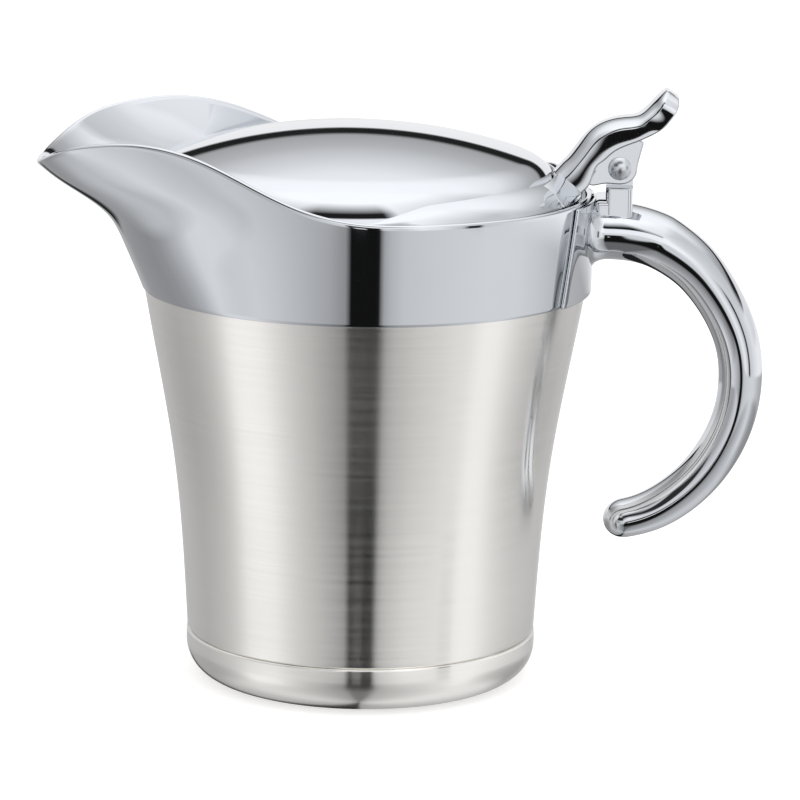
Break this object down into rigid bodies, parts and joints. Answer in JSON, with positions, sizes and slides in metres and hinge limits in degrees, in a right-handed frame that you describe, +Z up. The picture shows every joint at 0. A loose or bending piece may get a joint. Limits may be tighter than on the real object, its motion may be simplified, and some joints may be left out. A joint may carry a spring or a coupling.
{
  "type": "insulated sauce jug",
  "caption": "Double-walled insulated steel sauce jug with a flared body, a wide chromed spout collar, a curved bar handle and a hinged domed lid worked by a thumb lever.",
  "frame": {"origin": "middle of the foot, on the surface the jug stands on", "axes": "+Z up, +X towards the handle and -X towards the spout, +Y across the jug along the hinge pin"},
  "size_m": [0.194, 0.12, 0.1607],
  "materials": {
    "base_cup": "satin, brushed round",
    "outer_shell": "satin, brushed round",
    "inner_base": "mill",
    "port_bead": "soldered",
    "inner_liner": "electropolished",
    "getter": "pressed",
    "collar_seal": "moulded silicone",
    "spout_collar": "mirror",
    "handle": "mirror",
    "handle_screws": "plain",
    "hinge_pin": "polished",
    "hinge_washers": "moulded",
    "lid_dome": "mirror",
    "lid_pan": "satin",
    "lid_lever": "mirror",
    "lever_screws": "plain"
  },
  "bodies": {
    "jug": {"base_cup": "base_cup", "outer_shell": "outer_shell", "inner_base": "inner_base", "port_bead": "port_bead", "inner_liner": "inner_liner", "getter": "getter", "collar_seal": "collar_seal", "spout_collar": "spout_collar", "handle": "handle", "handle_screws": "handle_screws", "hinge_pin": "hinge_pin", "hinge_washers": "hinge_washers"},
    "lid": {"lid_dome": "lid_dome", "lid_pan": "lid_pan", "lid_lever": "lid_lever", "lever_screws": "lever_screws"}
  },
  "joints": [
    {"name": "lid_hinge", "type": "hinge", "parent": "jug", "child": "lid", "pos_m": [0.0669, 0, 0.1401], "axis": [0, 1, 0], "range_deg": [0, 85]}
  ]
}
